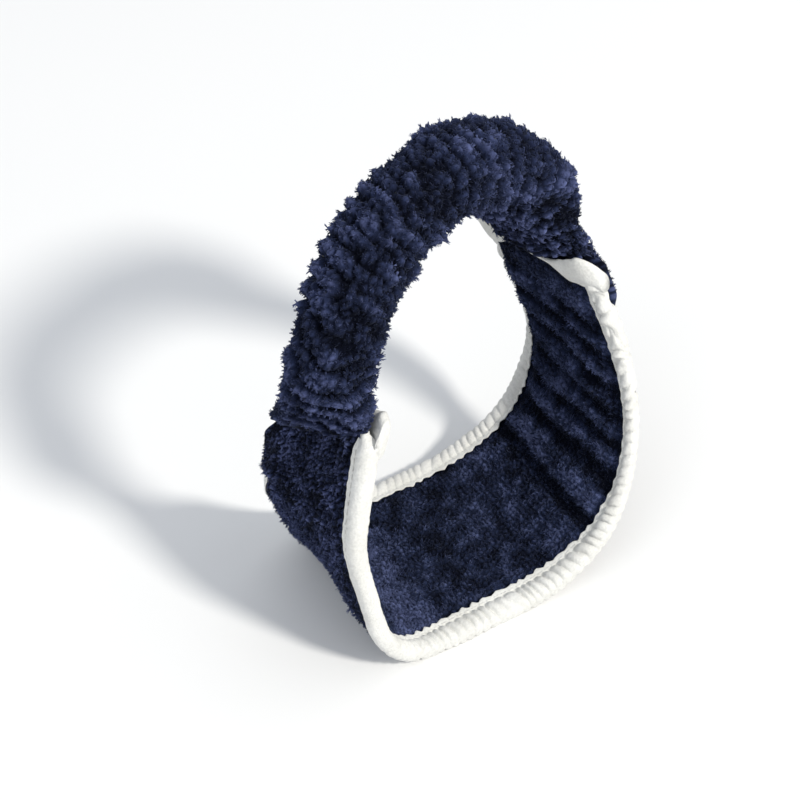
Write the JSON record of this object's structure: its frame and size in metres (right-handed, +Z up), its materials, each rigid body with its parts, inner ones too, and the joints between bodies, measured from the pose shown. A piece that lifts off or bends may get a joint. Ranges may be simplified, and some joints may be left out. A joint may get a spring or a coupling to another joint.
{
  "type": "sweat headband",
  "caption": "Terry sweat headband: wide bound front panel closed into a loop by a gathered elastic casing at the back.",
  "frame": {"origin": "middle of the overall box, on the surface the band stands on", "axes": "+Z up from the front panel to the gathered casing; +Y through the loop from the front binding to the back binding; +X to the right seen along +Y"},
  "size_m": [0.138, 0.0923, 0.1785],
  "materials": {
    "navy_terry": "deep pile, matte",
    "white_binding": "soft knitted tape, matte",
    "white_thread": "spun thread",
    "navy_thread": "spun thread",
    "white_elastic": "woven elastic"
  },
  "bodies": {
    "front_band": {"outer_panel": "navy_terry", "inner_panel": "navy_terry", "front_binding": "white_binding", "back_binding": "white_binding", "front_binding_stitching": "white_thread", "back_binding_stitching": "white_thread", "left_seam_stitching": "navy_thread", "right_seam_stitching": "navy_thread"},
    "back_casing": {"elastic_casing": "navy_terry", "elastic_band": "white_elastic", "casing_seam_stitching": "navy_thread"}
  },
  "joints": [
    {"name": "elastic_stretch", "type": "slide", "parent": "front_band", "child": "back_casing", "axis": [0, 0, 1], "range_m": [0, 0.045], "stiffness_N_per_m": 90, "deforming": ["elastic_casing", "elastic_band", "casing_seam_stitching"]}
  ]
}
